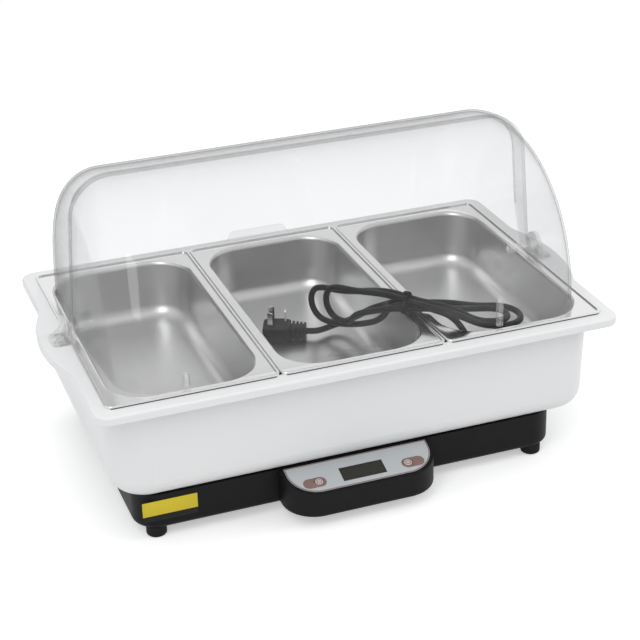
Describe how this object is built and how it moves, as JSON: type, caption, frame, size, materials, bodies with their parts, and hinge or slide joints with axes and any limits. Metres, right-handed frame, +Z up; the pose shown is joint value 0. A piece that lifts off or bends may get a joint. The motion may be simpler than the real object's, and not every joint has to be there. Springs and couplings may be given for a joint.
{
  "type": "electric buffet warmer",
  "caption": "Countertop food warmer: drawn steel pans in a white water basin on a black heated base, with a clear quarter-round cover whose front half rolls back.",
  "frame": {"origin": "centre of the bounding box's base, on the surface that the feet stand on", "axes": "+X to the right along the length, +Y from the control panel to the back, +Z up"},
  "size_m": [0.5846, 0.369, 0.3367],
  "materials": {
    "steel": "drawn sheet, satin",
    "white_plastic": "moulded, satin",
    "clear_plastic": "clear moulded",
    "black_plastic": "moulded, fine grain",
    "button_plastic": "moulded",
    "panel_plastic": "flat sheet",
    "display": "dark window",
    "rubber": "matt",
    "silicone": "matt",
    "cord_rubber": "satin",
    "tie_plastic": "matt",
    "plated_pins": "plated",
    "screw_steel": "zinc plated",
    "inner_plastic": "moulded",
    "circuit_board": "laminate",
    "pad_fibre": "felted",
    "wire_sleeve": "satin"
  },
  "bodies": {
    "warmer": {"food_pan_left": "steel", "food_pan_middle": "steel", "food_pan_right": "steel", "heating_plate": "steel", "clamp_dish": "steel", "water_basin": "white_plastic", "rear_cover": "clear_plastic", "hinge_bracket_left": "clear_plastic", "hinge_bracket_right": "clear_plastic", "hinge_cap_left": "clear_plastic", "hinge_cap_right": "clear_plastic", "hinge_pin_left": "clear_plastic", "hinge_pin_right": "clear_plastic", "base_housing": "black_plastic", "bottom_plate": "black_plastic", "control_housing": "black_plastic", "control_panel": "panel_plastic", "lcd_display": "display", "rubber_feet": "rubber", "plate_gasket": "silicone", "cord_hank": "cord_rubber", "cord_plug": "cord_rubber", "cord_connector": "cord_rubber", "cord_tie": "tie_plastic", "plug_pins": "plated_pins", "inlet_pins": "plated_pins", "heating_element": "plated_pins", "temperature_probe": "plated_pins", "foot_screws": "screw_steel", "plate_screws": "screw_steel", "board_screws": "screw_steel", "module_screws": "screw_steel", "clamp_screws": "screw_steel", "button_switches": "inner_plastic", "thermal_cutout": "inner_plastic", "terminal_block": "inner_plastic", "appliance_inlet": "inner_plastic", "power_relay": "inner_plastic", "control_board": "circuit_board", "power_board": "circuit_board", "insulation_pad": "pad_fibre", "mains_wires": "wire_sleeve", "heater_wires": "wire_sleeve", "panel_cable": "wire_sleeve"},
    "front_cover": {"front_cover": "clear_plastic", "cover_pegs": "clear_plastic"},
    "power_button": {"power_button": "button_plastic"},
    "set_button": {"set_button": "button_plastic"}
  },
  "joints": [
    {"name": "front_cover_hinge", "type": "hinge", "parent": "warmer", "child": "front_cover", "pos_m": [0, 0.0065, 0.1765], "axis": [-1, 0, 0], "range_deg": [0, 78]},
    {"name": "power_button_press", "type": "slide", "parent": "warmer", "child": "power_button", "axis": [0, -0.2894, 0.9572], "range_m": [-0.001, 0], "stiffness_N_per_m": 300},
    {"name": "set_button_press", "type": "slide", "parent": "warmer", "child": "set_button", "axis": [0, -0.2894, 0.9572], "range_m": [-0.001, 0], "stiffness_N_per_m": 300}
  ]
}
